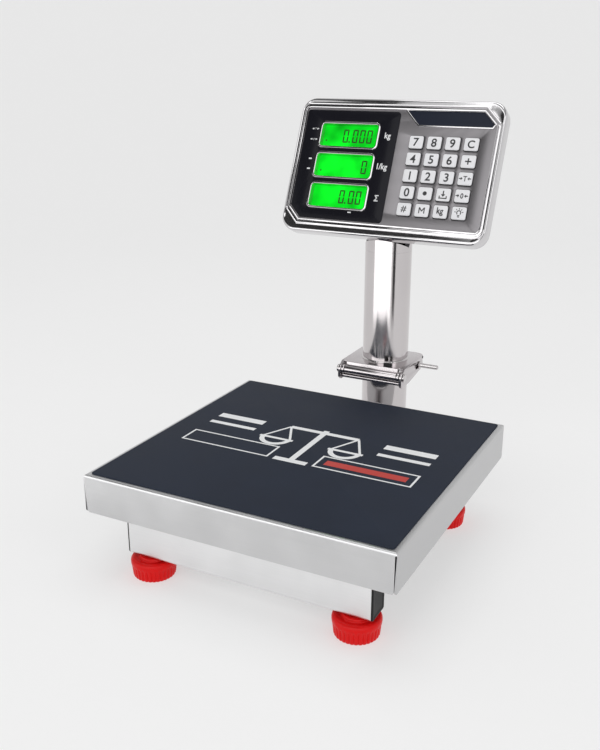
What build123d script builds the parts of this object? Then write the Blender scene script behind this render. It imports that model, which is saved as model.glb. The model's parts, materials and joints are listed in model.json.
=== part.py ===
"""Price-computing platform scale on four levelling feet, with a folding post that carries
the display head. Millimetres; +Z up, +Y towards the post, X = 0 is the plane of symmetry.
Z = 0 is the floor under the feet, and Y = 0 is half-way between the platform's front edge
and the rearmost edge of the head."""

from build123d import *
import math
import os

# ---------------------------------------------------------------- driving dimensions

platform_width = 300
platform_depth = 290
platform_y = -48.4
top_z = 104.4
sheet = 1.5
skirt_drop = 36.5
mat_thickness = 1.0
mat_inset = 4.5

tube_depth = 25
tube_height = 50
tube_length = 242
tube_wall = 2
tube_bottom_z = 22.4
tube_offset_y = 110.5
plug_flange = 1.5

foot_x = 103.4
foot_radius = 21.4
foot_height = 18.5
stud_radius = 5.0
running_gap = 0.05

beam_width = 50
beam_bottom_z = 28
beam_height = 30
cell_length = 130
cell_width = 30
cell_bottom_z = 61
cell_height = 22
cell_pad = 3
bolt_radius = 3.0
bolt_rows = (40, 55)
plate_thickness = 3
bar_offset_y = 95
bar_length = 250
bar_depth = 20
bar_height = 11
pad_x = 115

post_radius = 25
post_wall = 1.5
post_offset_y = 190.8
arm_width = 60
arm_height = 36
arm_bottom_z = 24
lower_plate_z = 125.4
upper_plate_top_z = 142.4
upper_plate = 2.0
bracket_half_width = 37.0
flange = 3.0
pin_offset_y = 151.5
pin_z = 133.9
pin_radius = 3.0
ear_radius = 5.5
latch_offset_y = 199.5
latch_z = 134.6
latch_radius = 2.5
latch_travel = 8.0
latch_reach = 59
post_top_z = 262.0

lean = 23.75
head_offset_y = 183.06
head_z = 348.66
head_width = 227
head_height = 147
bezel_depth = 17
head_depth = 36
shell_wall = 2.5
panel_front = -2.8
panel_back = -4.8
panel_post_end = -9.0
mitre_gap = 0.6
neck_plate = 4.0

window_x = -52.3
window_pitch = 33.0
window_width = 69.4
window_height = 29.3
glass_width = 61.5
glass_height = 23.0

key_first_x = 24.4
key_top_row = 28.5
key_pitch_x = 19.5
key_pitch_y = 17.6
key_width = 15.0
key_height = 13.2
key_gap = 0.4
key_travel = 1.2

rocker_spot = (80, -30)
rocker_tilt = 7
jack_spot = (80, 5)
jack_radius = 2.75

# ---------------------------------------------------------------- worked-out places

front_tube_y = platform_y - tube_offset_y
rear_tube_y = platform_y + tube_offset_y
tube_top_z = tube_bottom_z + tube_height
post_y = platform_y + post_offset_y
pin_y = platform_y + pin_offset_y
latch_y = platform_y + latch_offset_y
beam_top_z = beam_bottom_z + beam_height
cell_top_z = cell_bottom_z + cell_height
frame_plate_z = cell_top_z + cell_pad
bar_bottom_z = frame_plate_z + plate_thickness
bar_top_z = bar_bottom_z + bar_height
arm_top_z = arm_bottom_z + arm_height
arm_front_y = rear_tube_y + tube_depth / 2
arm_rear_y = post_y + post_radius + 6
floor_z = 0
mat_top_z = top_z + mat_thickness

lean_sin = math.sin(math.radians(lean))
lean_cos = math.cos(math.radians(lean))
face = Plane(
    origin=(0, platform_y + head_offset_y, head_z),
    x_dir=(1, 0, 0),
    z_dir=(0, -lean_cos, lean_sin),
)

os.makedirs("parts", exist_ok=True)


def finish(sub_part, name):
    """Label a finished sub-part and write it as one STEP file."""
    sub_part.part.label = name
    export_step(sub_part.part, "parts/" + name + ".step")


def on_post(height):
    """Horizontal plane whose origin is on the post's axis."""
    return Plane(origin=(0, post_y, height))


def on_platform(height):
    """Horizontal plane whose origin is under the platform's centre."""
    return Plane(origin=(0, platform_y, height))


# ---------------------------------------------------------------- base frame


def cross_tube(name, centre_y):
    """Rectangular tube across the base, with a threaded bush welded in over each foot."""
    bush_radius = 8
    bush_height = 12
    with BuildPart() as tube:
        with BuildSketch(Plane.YZ.offset(-tube_length / 2)):
            with Locations((centre_y, tube_bottom_z + tube_height / 2)):
                RectangleRounded(tube_depth, tube_height, 3)
                RectangleRounded(
                    tube_depth - 2 * tube_wall,
                    tube_height - 2 * tube_wall,
                    1.2,
                    mode=Mode.SUBTRACT,
                )
        extrude(amount=tube_length)
        with BuildSketch(Plane.XY.offset(tube_bottom_z + tube_wall / 2)):
            with Locations((-foot_x, centre_y), (foot_x, centre_y)):
                Circle(bush_radius)
        extrude(amount=bush_height - tube_wall / 2)
        with BuildSketch(Plane.XY.offset(tube_bottom_z)):
            with Locations((-foot_x, centre_y), (foot_x, centre_y)):
                Circle(stud_radius + running_gap)
        extrude(amount=bush_height, mode=Mode.SUBTRACT)
    finish(tube, name)


cross_tube("front_cross_tube", front_tube_y)
cross_tube("rear_cross_tube", rear_tube_y)

# Plastic plugs close the cross tubes' ends and the rear of the post arm.
plug_clearance = 0.3
plug_reach = 8
with BuildPart() as tube_end_plugs:
    for side in (-1, 1):
        for centre_y in (front_tube_y, rear_tube_y):
            outer = Plane(
                origin=(side * tube_length / 2, centre_y, tube_bottom_z + tube_height / 2),
                x_dir=(0, 1, 0),
                z_dir=(side, 0, 0),
            )
            with BuildSketch(outer):
                RectangleRounded(tube_depth, tube_height, 3)
            extrude(amount=plug_flange)
            with BuildSketch(outer):
                RectangleRounded(
                    tube_depth - 2 * (tube_wall + plug_clearance),
                    tube_height - 2 * (tube_wall + plug_clearance),
                    0.9,
                )
            extrude(amount=-plug_reach)
    arm_end = Plane(
        origin=(0, arm_rear_y, arm_bottom_z + arm_height / 2),
        x_dir=(-1, 0, 0),
        z_dir=(0, 1, 0),
    )
    with BuildSketch(arm_end):
        RectangleRounded(arm_width, arm_height, 3)
    extrude(amount=plug_flange)
    with BuildSketch(arm_end):
        RectangleRounded(
            arm_width - 2 * (tube_wall + plug_clearance),
            arm_height - 2 * (tube_wall + plug_clearance),
            0.9,
        )
    extrude(amount=-plug_reach)
finish(tube_end_plugs, "tube_end_plugs")

# The spine beam joins the cross tubes and carries the load cell's fixed end.
with BuildPart() as spine_beam:
    with BuildSketch(Plane.XZ.offset(-(front_tube_y + tube_depth / 2))):
        with Locations((0, beam_bottom_z + beam_height / 2)):
            RectangleRounded(beam_width, beam_height, 3)
            RectangleRounded(
                beam_width - 2 * tube_wall,
                beam_height - 2 * tube_wall,
                1.2,
                mode=Mode.SUBTRACT,
            )
    extrude(amount=-(2 * tube_offset_y - tube_depth))
    with BuildSketch(on_platform(beam_top_z - tube_wall - 1)):
        with Locations(*[(0, -row) for row in bolt_rows]):
            Circle(bolt_radius + 0.3)
    extrude(amount=tube_wall + 2, mode=Mode.SUBTRACT)
    with BuildSketch(on_platform(beam_bottom_z - 1)):
        with Locations(*[(0, -row) for row in bolt_rows]):
            Circle(6.5)
    extrude(amount=tube_wall + 2, mode=Mode.SUBTRACT)
finish(spine_beam, "spine_beam")

# Single-point load cell: an aluminium block whose middle is thinned by two joined bores.
cell_bore = 8
cell_bore_offset = 11
tapped_depth = 15
with BuildPart() as load_cell:
    with BuildSketch(on_platform(cell_bottom_z)):
        Rectangle(cell_width, cell_length)
    extrude(amount=cell_height)
    with BuildSketch(on_platform(cell_bottom_z)):
        with Locations((0, -(cell_length / 2 - 17.5))):
            Rectangle(cell_width, 35)
    extrude(amount=-cell_pad)
    with BuildSketch(on_platform(cell_top_z)):
        with Locations((0, cell_length / 2 - 17.5)):
            Rectangle(cell_width, 35)
    extrude(amount=cell_pad)
    with BuildSketch(Plane.YZ.offset(-cell_width)):
        with Locations((platform_y, cell_bottom_z + cell_height / 2)):
            with Locations((-cell_bore_offset, 0), (cell_bore_offset, 0)):
                Circle(cell_bore)
            Rectangle(2 * cell_bore_offset, 6)
    extrude(amount=2 * cell_width, mode=Mode.SUBTRACT)
    with BuildSketch(on_platform(beam_top_z)):
        with Locations(*[(0, -row) for row in bolt_rows]):
            Circle(bolt_radius + running_gap)
    extrude(amount=tapped_depth, mode=Mode.SUBTRACT)
    with BuildSketch(on_platform(frame_plate_z)):
        with Locations(*[(0, row) for row in bolt_rows]):
            Circle(bolt_radius + running_gap)
    extrude(amount=-tapped_depth, mode=Mode.SUBTRACT)
finish(load_cell, "load_cell")

# Two cap screws hold each end of the cell: from inside the beam, and down through the plate.
with BuildPart() as load_cell_bolts:
    for direction, seat_z, grip in (
        (-1, beam_top_z - tube_wall, tube_wall),
        (1, frame_plate_z + plate_thickness, plate_thickness),
    ):
        spots = [(0, direction * row) for row in bolt_rows]
        with BuildSketch(on_platform(seat_z)):
            with Locations(*spots):
                Circle(5)
                RegularPolygon(2.9, 6, mode=Mode.SUBTRACT)
        extrude(amount=direction * 5)
        with BuildSketch(on_platform(seat_z)):
            with Locations(*spots):
                Circle(5)
        extrude(amount=direction * 2)
        with BuildSketch(on_platform(seat_z)):
            with Locations(*spots):
                Circle(bolt_radius)
        extrude(amount=-direction * (grip + tapped_depth - 1))
finish(load_cell_bolts, "load_cell_bolts")

# The frame that the tray rests on: a plate on the cell's free end and two cross bars.
with BuildPart() as platform_plate:
    with BuildSketch(on_platform(frame_plate_z)):
        RectangleRounded(80, 2 * bar_offset_y + bar_depth + 4, 6)
        with Locations(*[(0, row) for row in bolt_rows]):
            Circle(bolt_radius + 0.3, mode=Mode.SUBTRACT)
    extrude(amount=plate_thickness)
finish(platform_plate, "platform_plate")


def platform_bar(name, offset_y):
    """Rectangular tube under the tray, with a hole for the stem of a rubber pad at each end."""
    with BuildPart() as bar:
        with BuildSketch(Plane.YZ.offset(-bar_length / 2)):
            with Locations((platform_y + offset_y, bar_bottom_z + bar_height / 2)):
                RectangleRounded(bar_depth, bar_height, 2)
                RectangleRounded(
                    bar_depth - 2 * sheet, bar_height - 2 * sheet, 0.8, mode=Mode.SUBTRACT
                )
        extrude(amount=bar_length)
        with BuildSketch(on_platform(bar_top_z + 1)):
            with Locations((-pad_x, offset_y), (pad_x, offset_y)):
                Circle(4.0)
        extrude(amount=-(sheet + 2), mode=Mode.SUBTRACT)
    finish(bar, name)


platform_bar("platform_bar_front", -bar_offset_y)
platform_bar("platform_bar_rear", bar_offset_y)

with BuildPart() as platform_pads:
    with BuildSketch(on_platform(bar_top_z)):
        with GridLocations(2 * pad_x, 2 * bar_offset_y, 2, 2):
            Circle(9.5)
    extrude(amount=top_z - sheet - 0.1 - bar_top_z)
    with BuildSketch(on_platform(bar_top_z)):
        with GridLocations(2 * pad_x, 2 * bar_offset_y, 2, 2):
            Circle(3.9)
    extrude(amount=-3.5)
finish(platform_pads, "platform_pads")

# ---------------------------------------------------------------- levelling feet

hub_radius = 13
hub_top = 20.4
foot_scallops = 32
scallop_radius = 1.3


def levelling_foot(name, x, y):
    """A scalloped plastic foot, and the threaded stud that screws up into the cross tube."""
    stud_bottom = 5
    with BuildPart() as pad:
        with BuildSketch(Plane(origin=(x, y, floor_z))):
            Circle(foot_radius)
            with PolarLocations(foot_radius + 0.7, foot_scallops):
                Circle(scallop_radius, mode=Mode.SUBTRACT)
        extrude(amount=foot_height)
        chamfer(pad.faces().sort_by(Axis.Z)[-1].edges(), 1.2)
        with BuildSketch(Plane(origin=(x, y, foot_height))):
            Circle(hub_radius)
        extrude(amount=hub_top - foot_height)
        with BuildSketch(Plane(origin=(x, y, hub_top))):
            Circle(stud_radius + running_gap)
        extrude(amount=stud_bottom - hub_top, mode=Mode.SUBTRACT)
    finish(pad, name + "_foot")

    with BuildPart() as stud:
        with BuildSketch(Plane(origin=(x, y, stud_bottom))):
            Circle(stud_radius)
        extrude(amount=40 - stud_bottom)
        chamfer(stud.faces().sort_by(Axis.Z)[-1].edges(), 1.0)
    finish(stud, name + "_stud")


for end, end_y in (("front", front_tube_y), ("rear", rear_tube_y)):
    for side, side_x in (("left", -foot_x), ("right", foot_x)):
        levelling_foot(end + "_" + side, side_x, end_y)

# ---------------------------------------------------------------- weighing tray

skirt_length_y = platform_depth - 2 * sheet - 0.4
skirt_corner = 6
with BuildPart() as platform_tray:
    with BuildSketch(on_platform(top_z - sheet)):
        RectangleRounded(platform_width, platform_depth, 2)
    extrude(amount=sheet)
    fillet(platform_tray.faces().sort_by(Axis.Z)[-1].edges(), 1.0)
    for end in (-1, 1):
        front = Plane(
            origin=(0, platform_y + end * platform_depth / 2, top_z - sheet),
            x_dir=(-end, 0, 0),
            z_dir=(0, end, 0),
        )
        with BuildSketch(front) as long_skirt:
            with Locations((0, (sheet - skirt_drop) / 2)):
                Rectangle(platform_width - 2, skirt_drop - sheet)
            fillet(long_skirt.vertices().group_by(Axis.Y)[0], skirt_corner)
        extrude(amount=-sheet)
    for end in (-1, 1):
        side = Plane(
            origin=(end * platform_width / 2, platform_y, top_z - sheet),
            x_dir=(0, end, 0),
            z_dir=(end, 0, 0),
        )
        with BuildSketch(side) as short_skirt:
            with Locations((0, (sheet - skirt_drop) / 2)):
                Rectangle(skirt_length_y, skirt_drop - sheet)
            fillet(short_skirt.vertices().group_by(Axis.Y)[0], skirt_corner)
        extrude(amount=-sheet)
finish(platform_tray, "platform_tray")

with BuildPart() as platform_mat:
    with BuildSketch(on_platform(top_z)):
        RectangleRounded(
            platform_width - 2 * mat_inset, platform_depth - 2 * mat_inset, 2.5
        )
    extrude(amount=mat_thickness)
    chamfer(platform_mat.faces().sort_by(Axis.Z)[-1].edges(), 0.3)
finish(platform_mat, "platform_mat")

# ---------------------------------------------------------------- post and fold hinge

with BuildPart() as post_arm:
    with BuildSketch(Plane.XZ.offset(-arm_front_y)):
        with Locations((0, arm_bottom_z + arm_height / 2)):
            RectangleRounded(arm_width, arm_height, 3)
            RectangleRounded(
                arm_width - 2 * tube_wall,
                arm_height - 2 * tube_wall,
                1.2,
                mode=Mode.SUBTRACT,
            )
    extrude(amount=-(arm_rear_y - arm_front_y))
    with BuildSketch(on_post(arm_top_z + 1)):
        Circle(10)
    extrude(amount=-(tube_wall + 2), mode=Mode.SUBTRACT)
finish(post_arm, "post_arm")

with BuildPart() as lower_post:
    with BuildSketch(on_post(arm_top_z)):
        Circle(post_radius)
        Circle(post_radius - post_wall, mode=Mode.SUBTRACT)
    extrude(amount=lower_plate_z - arm_top_z)
finish(lower_post, "lower_post")

inner_half_width = bracket_half_width - flange - 0.6
hook_top_z = upper_plate_top_z - upper_plate - 0.4
hook_low_z = latch_z - latch_radius - 0.3
hook_high_z = latch_z + latch_radius + 0.3
lock_y = latch_y - latch_travel
mouth_half = latch_radius + 0.9
lower_rear_y = latch_y + 15
low_flange_top_z = pin_z + 3.7
with BuildPart() as lower_hinge_bracket:
    with BuildSketch(Plane.XY.offset(lower_plate_z)):
        with Locations((0, (pin_y - 3 + lower_rear_y) / 2)):
            Rectangle(2 * inner_half_width, lower_rear_y - pin_y + 3)
        with Locations((0, post_y)):
            Circle(10, mode=Mode.SUBTRACT)
    extrude(amount=flange)
    # side flanges: an ear round the pin, and a hook that the latch rod slides under
    with BuildSketch(Plane.YZ.offset(-inner_half_width)):
        with BuildLine():
            Polyline(
                (pin_y, lower_plate_z),
                (lower_rear_y, lower_plate_z),
                (lower_rear_y, hook_top_z),
                (lock_y - 12, hook_top_z),
                (lock_y - 16, low_flange_top_z),
                (pin_y, low_flange_top_z),
                close=True,
            )
        make_face()
        with Locations((pin_y, pin_z)):
            Circle(ear_radius)
            Circle(pin_radius, mode=Mode.SUBTRACT)
        with BuildLine():
            Polyline(
                (lock_y - latch_radius - 0.3, hook_low_z),
                (latch_y + mouth_half, hook_low_z),
                (latch_y + mouth_half, hook_top_z + 1),
                (latch_y - mouth_half, hook_top_z + 1),
                (latch_y - mouth_half, hook_high_z),
                (lock_y - latch_radius - 0.3, hook_high_z),
                close=True,
            )
        make_face(mode=Mode.SUBTRACT)
    extrude(amount=flange)
    mirror(about=Plane.YZ)
finish(lower_hinge_bracket, "lower_hinge_bracket")

flange_low_z = 122.9
flange_end_y = latch_y + 11
plate_front_y = pin_y + 4.5
plate_rear_y = post_y + 28.2
knuckle_radius = 5.0
knuckle_half_length = inner_half_width - flange - 0.4
with BuildPart() as upper_hinge_bracket:
    with BuildSketch(Plane.XY.offset(upper_plate_top_z - upper_plate)) as top_plate:
        with Locations((0, (plate_front_y + plate_rear_y) / 2)):
            Rectangle(2 * bracket_half_width, plate_rear_y - plate_front_y)
        fillet(top_plate.vertices().group_by(Axis.Y)[-1], 10)
        with Locations((0, post_y)):
            Circle(10, mode=Mode.SUBTRACT)
    extrude(amount=upper_plate)
    # side flanges with an ear on the pin and a slot for the latch rod
    with BuildSketch(Plane.YZ.offset(-bracket_half_width)):
        with BuildLine():
            Polyline(
                (pin_y - ear_radius, pin_z),
                (pin_y - ear_radius, flange_low_z + 3),
                (pin_y - ear_radius + 3, flange_low_z),
                (pin_y + 18, flange_low_z),
                (flange_end_y - 4, latch_z - 6),
                (flange_end_y, latch_z - 2),
                (flange_end_y, upper_plate_top_z),
                (plate_front_y, upper_plate_top_z),
                (pin_y, pin_z + ear_radius),
                close=True,
            )
        make_face()
        with Locations((pin_y, pin_z)):
            Circle(ear_radius)
            Circle(pin_radius + running_gap, mode=Mode.SUBTRACT)
        with Locations(((latch_y + lock_y) / 2, latch_z)):
            SlotCenterToCenter(latch_travel, 2 * latch_radius + 0.2, mode=Mode.SUBTRACT)
    extrude(amount=flange)
    mirror(about=Plane.YZ)
    # the plate's front edge, turned down and rolled round the pin
    with BuildSketch(Plane.YZ.offset(-knuckle_half_length)):
        with Locations((pin_y + 3.5, (pin_z + 3 + upper_plate_top_z) / 2)):
            Rectangle(4, upper_plate_top_z - pin_z - 3)
        with Locations((pin_y, pin_z)):
            Circle(knuckle_radius)
            Circle(pin_radius + running_gap, mode=Mode.SUBTRACT)
    extrude(amount=2 * knuckle_half_length)
finish(upper_hinge_bracket, "upper_hinge_bracket")

pin_head = 2.0
with BuildPart() as hinge_pin:
    with BuildSketch(Plane.YZ.offset(-bracket_half_width - 0.3)):
        with Locations((pin_y, pin_z)):
            Circle(pin_radius)
    extrude(amount=2 * (bracket_half_width + 0.3))
    for side in (-1, 1):
        with BuildSketch(Plane.YZ.offset(side * (bracket_half_width + 0.3))):
            with Locations((pin_y, pin_z)):
                Circle(4.4)
        extrude(amount=side * pin_head)
    fillet(hinge_pin.faces().sort_by(Axis.X)[0].edges(), 0.8)
    fillet(hinge_pin.faces().sort_by(Axis.X)[-1].edges(), 0.8)
finish(hinge_pin, "hinge_pin")

rod_left_x = -41.5
with BuildPart() as latch_rod:
    with BuildSketch(Plane.YZ.offset(rod_left_x)):
        with Locations((latch_y, latch_z)):
            Circle(latch_radius)
    extrude(amount=latch_reach - rod_left_x)
    fillet(latch_rod.faces().sort_by(Axis.X)[-1].edges(), 1.6)
    for side in (-1, 1):
        with BuildSketch(Plane.YZ.offset(side * (bracket_half_width + 0.3))):
            with Locations((latch_y, latch_z)):
                Circle(4.2)
        extrude(amount=side * 1.2)
finish(latch_rod, "latch_rod")

with BuildPart() as upper_post:
    with BuildSketch(on_post(upper_plate_top_z)):
        Circle(post_radius)
        Circle(post_radius - post_wall, mode=Mode.SUBTRACT)
    extrude(amount=post_top_z - upper_plate_top_z)
finish(upper_post, "upper_post")

# ---------------------------------------------------------------- neck

# A tube mitred to the back of the head, on a spigot that turns inside the post's top.
spigot_radius = post_radius - post_wall - 0.08
spigot_depth = 26
neck_base_z = post_top_z + 0.3
neck_top_z = 335
neck_plate_width = 80
neck_plate_height = 64
neck_plate_mid = -28
neck_screw_x = 32
neck_screw_rows = (-52, -4)
with BuildPart() as neck_bracket:
    with BuildSketch(on_post(neck_base_z)):
        Circle(post_radius)
    extrude(amount=neck_top_z - neck_base_z)
    with BuildSketch(on_post(neck_base_z)):
        Circle(spigot_radius)
    extrude(amount=-spigot_depth)
    with BuildSketch(on_post(neck_base_z - spigot_depth)):
        Circle(spigot_radius - 3)
    extrude(amount=neck_top_z - neck_base_z + spigot_depth, mode=Mode.SUBTRACT)
    with BuildSketch(face.offset(-head_depth - neck_plate / 2)):
        with Locations((0, 100 - head_height / 2 - mitre_gap)):
            Rectangle(120, 200)
    extrude(amount=80, mode=Mode.SUBTRACT)
    with BuildSketch(face.offset(-head_depth - neck_plate)):
        with Locations((0, neck_plate_mid)):
            RectangleRounded(neck_plate_width, neck_plate_height, 6)
    extrude(amount=neck_plate)
    with BuildSketch(face.offset(-head_depth + 1)):
        for row in neck_screw_rows:
            with Locations((-neck_screw_x, row), (neck_screw_x, row)):
                Circle(2.2)
        with Locations((0, -20)):
            Circle(6)
    extrude(amount=-neck_plate - 2, mode=Mode.SUBTRACT)
finish(neck_bracket, "neck_bracket")

# ---------------------------------------------------------------- head casing

corner_screw_spots = [(-96, -56), (96, -56), (-96, 56), (96, 56)]
neck_screw_spots = [(x, y) for y in neck_screw_rows for x in (-neck_screw_x, neck_screw_x)]
opening_low = -60.5
opening_high = 62.0
opening_half = 106.0
top_right_cut = 15.0
low_left_cut = 13.5
diagonal_growth = 2 - math.sqrt(2)


def opening_outline(grow, mode=Mode.ADD):
    """Outline of the bezel's opening, grown evenly: cut off at top right and low left."""
    right = opening_half + grow
    high = opening_high + grow
    low = opening_low - grow
    high_cut = top_right_cut + diagonal_growth * grow
    low_cut = low_left_cut + diagonal_growth * grow
    Polygon(
        (-right, high),
        (right - high_cut, high),
        (right, high - high_cut),
        (right, low),
        (-right + low_cut, low),
        (-right, low + low_cut),
        align=None,
        mode=mode,
    )


ridge_width = 1.5
step_front = -1.4
with BuildPart() as head_bezel:
    with BuildSketch(face.offset(-bezel_depth)):
        RectangleRounded(head_width, head_height, 16)
    extrude(amount=bezel_depth + step_front)
    fillet(head_bezel.faces().sort_by(Axis((0, 0, 0), face.z_dir))[-1].edges(), 2.6)
    with BuildSketch(face.offset(-bezel_depth)):
        RectangleRounded(head_width - 2 * shell_wall, head_height - 2 * shell_wall, 13.5)
    extrude(amount=bezel_depth + panel_front, mode=Mode.SUBTRACT)
    with BuildSketch(face.offset(step_front - 0.4)):
        opening_outline(ridge_width)
    extrude(amount=-step_front + 0.4)
    with BuildSketch(face.offset(step_front - 0.4)):
        opening_outline(2 * ridge_width + 2.4)
        opening_outline(ridge_width + 2.4, Mode.SUBTRACT)
    extrude(amount=-step_front + 0.2)
    with BuildSketch(face.offset(-bezel_depth)):
        opening_outline(0)
    extrude(amount=bezel_depth + 1, mode=Mode.SUBTRACT)
finish(head_bezel, "head_bezel")

rear_width = 204
rear_height = 124
rear_corner = 10
boss_radius = 4.0
rocker_width = 12.6
rocker_length = 18.0
rocker_depth = 9.0
rocker_frame = 2.4
rocker_pivot_depth = 3.4
rocker_pin = 1.0
bearing_middle = rocker_width / 2 + 1.3
bearing_wide = 1.4
connector_spot = (80, -15)
connector_width = 24.0
connector_height = 58.0
connector_gap = 0.2
pivot_axis = Plane(
    origin=face.origin
    + face.x_dir * rocker_spot[0]
    + face.y_dir * rocker_spot[1]
    - face.z_dir * (head_depth - rocker_pivot_depth),
    x_dir=(0, 1, 0),
    z_dir=(1, 0, 0),
)
with BuildPart() as head_rear_shell:
    with BuildSketch(face.offset(-head_depth)):
        RectangleRounded(rear_width, rear_height, rear_corner)
    with BuildSketch(face.offset(-bezel_depth)):
        RectangleRounded(head_width, head_height, 16)
    loft(ruled=True)
    with BuildSketch(face.offset(-head_depth + shell_wall)):
        RectangleRounded(rear_width - 2 * shell_wall, rear_height - 2 * shell_wall, 8)
    with BuildSketch(face.offset(-bezel_depth)):
        RectangleRounded(head_width - 2 * shell_wall, head_height - 2 * shell_wall, 13.5)
    loft(ruled=True, mode=Mode.SUBTRACT)
    with BuildSketch(face.offset(-head_depth + shell_wall)):
        with Locations(*corner_screw_spots):
            Circle(boss_radius)
    extrude(amount=head_depth - shell_wall + panel_post_end)
    with BuildSketch(face.offset(-head_depth + shell_wall)):
        with Locations(*neck_screw_spots):
            Circle(boss_radius)
    extrude(amount=6)
    with BuildSketch(face.offset(-head_depth - 1)):
        with Locations(*corner_screw_spots):
            Circle(1.8)
    extrude(amount=head_depth + panel_post_end + 2, mode=Mode.SUBTRACT)
    with BuildSketch(face.offset(-head_depth - 1)):
        with Locations(*neck_screw_spots):
            Circle(1.95)
    extrude(amount=8, mode=Mode.SUBTRACT)
    # window in the rear wall, and the connector panel that snaps into it as a solid of its own
    with BuildSketch(face.offset(-head_depth - 1)):
        with Locations(connector_spot):
            RectangleRounded(connector_width, connector_height, 2)
    extrude(amount=shell_wall + 2, mode=Mode.SUBTRACT)
    with BuildSketch(face.offset(-head_depth)):
        with Locations(connector_spot):
            RectangleRounded(
                connector_width - 2 * connector_gap, connector_height - 2 * connector_gap, 1.8
            )
    extrude(amount=shell_wall)
    # raised frame round the power switch, and the hole for the charger plug
    with BuildSketch(face.offset(-head_depth)):
        with Locations(rocker_spot):
            RectangleRounded(
                rocker_width + 2 * rocker_frame, rocker_length + 2 * rocker_frame, 2
            )
    extrude(amount=-1.2)
    with BuildSketch(face.offset(-head_depth - 2)):
        with Locations(rocker_spot):
            Rectangle(rocker_width + 0.8, rocker_length + 1.6)
        with Locations(jack_spot):
            Circle(jack_radius + 2)
    extrude(amount=shell_wall + 3, mode=Mode.SUBTRACT)
    # bearings inside, for the power switch's pins
    with BuildSketch(face.offset(-head_depth + shell_wall - 0.1)):
        for side in (-1, 1):
            with Locations((rocker_spot[0] + side * bearing_middle, rocker_spot[1])):
                Rectangle(bearing_wide, 5)
    extrude(amount=3.1)
    with BuildSketch(pivot_axis.offset(-rocker_width)):
        Circle(rocker_pin + 0.05)
    extrude(amount=2 * rocker_width, mode=Mode.SUBTRACT)
finish(head_rear_shell, "head_rear_shell")

# Screws: four pan heads hold the neck to the shell, and four hold the shell to the bezel.
with BuildPart() as head_screws:
    for spots, seat, pan, shank, reach in (
        (neck_screw_spots, -head_depth - neck_plate, 3.8, 1.9, neck_plate + shell_wall + 3),
        (corner_screw_spots, -head_depth, 3.0, 1.5, head_depth + panel_back - 0.8),
    ):
        with BuildSketch(face.offset(seat)):
            with Locations(*spots):
                Circle(pan)
        extrude(amount=-2.2)
        with BuildSketch(face.offset(seat - 2.2)):
            with Locations(*spots):
                Rectangle(0.45 * pan, 1.3 * pan)
                Rectangle(1.3 * pan, 0.45 * pan)
        extrude(amount=1.2, mode=Mode.SUBTRACT)
        with BuildSketch(face.offset(seat)):
            with Locations(*spots):
                Circle(shank)
        extrude(amount=reach)
finish(head_screws, "head_screws")

# ---------------------------------------------------------------- face of the head

window_spots = [(window_x, row * window_pitch) for row in (1, 0, -1)]
key_columns = [key_first_x + column * key_pitch_x for column in range(4)]
key_rows = [key_top_row - row * key_pitch_y for row in range(5)]
panel_mid = (opening_low + opening_high) / 2
with BuildPart() as keypad_panel:
    with BuildSketch(face.offset(panel_back)):
        with Locations((0, panel_mid)):
            RectangleRounded(218, 129, 6)
        with Locations(*window_spots):
            RectangleRounded(glass_width + 3, glass_height + 3, 2, mode=Mode.SUBTRACT)
        with Locations(*[(x, y) for y in key_rows for x in key_columns]):
            RectangleRounded(
                key_width + 2 * key_gap, key_height + 2 * key_gap, 2.4, mode=Mode.SUBTRACT
            )
    extrude(amount=panel_front - panel_back)
    # posts that the shell's corner screws bite into
    with BuildSketch(face.offset(panel_back)):
        with Locations(*corner_screw_spots):
            Circle(boss_radius)
            Circle(1.55, mode=Mode.SUBTRACT)
    extrude(amount=panel_post_end - panel_back)
finish(keypad_panel, "keypad_panel")

display_right = 2.2
display_high = 60.0
display_low = -58.5
display_left = -105.4
with BuildPart() as display_panel:
    with BuildSketch(face.offset(panel_front)) as black_sheet:
        with BuildLine():
            Polyline(
                (display_left, display_high),
                (display_right, display_high),
                (display_right, display_low),
                (display_left + 13, display_low),
                (display_left, display_low + 13),
                close=True,
            )
        make_face()
        fillet(black_sheet.vertices().group_by(Axis.X)[-1], 4)
        with Locations(*window_spots):
            RectangleRounded(glass_width + 3, glass_height + 3, 2, mode=Mode.SUBTRACT)
    extrude(amount=0.9)
finish(display_panel, "display_panel")

frame_front = -0.4
frame_back = -5.6
board_front = -9.2
with BuildPart() as window_frames:
    with BuildSketch(face.offset(panel_front + 0.9)):
        with Locations(*window_spots):
            RectangleRounded(window_width, window_height, 5)
    extrude(amount=frame_front - panel_front - 0.9)
    fillet(window_frames.faces().sort_by(Axis((0, 0, 0), face.z_dir))[-3:].edges(), 0.7)
    with BuildSketch(face.offset(frame_back)):
        with Locations(*window_spots):
            RectangleRounded(glass_width + 2.4, glass_height + 2.4, 1.7)
    extrude(amount=panel_front + 0.9 - frame_back)
    with BuildSketch(face.offset(frame_back - 1)):
        with Locations(*window_spots):
            RectangleRounded(glass_width, glass_height, 1.2)
    extrude(amount=10, mode=Mode.SUBTRACT)
finish(window_frames, "window_frames")

with BuildPart() as lcd_modules:
    with BuildSketch(face.offset(frame_back)):
        with Locations(*window_spots):
            RectangleRounded(glass_width + 5, glass_height + 5, 1)
    extrude(amount=board_front - frame_back)
finish(lcd_modules, "lcd_modules")

with BuildPart() as nameplate:
    with BuildSketch(face.offset(panel_front)):
        with BuildLine():
            Polyline(
                (9.7, 61.6),
                (90.8, 61.6),
                (102.6, 49.8),
                (100.8, 46.9),
                (23.9, 46.9),
                close=True,
            )
        make_face()
    extrude(amount=0.7)
finish(nameplate, "nameplate")

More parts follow.
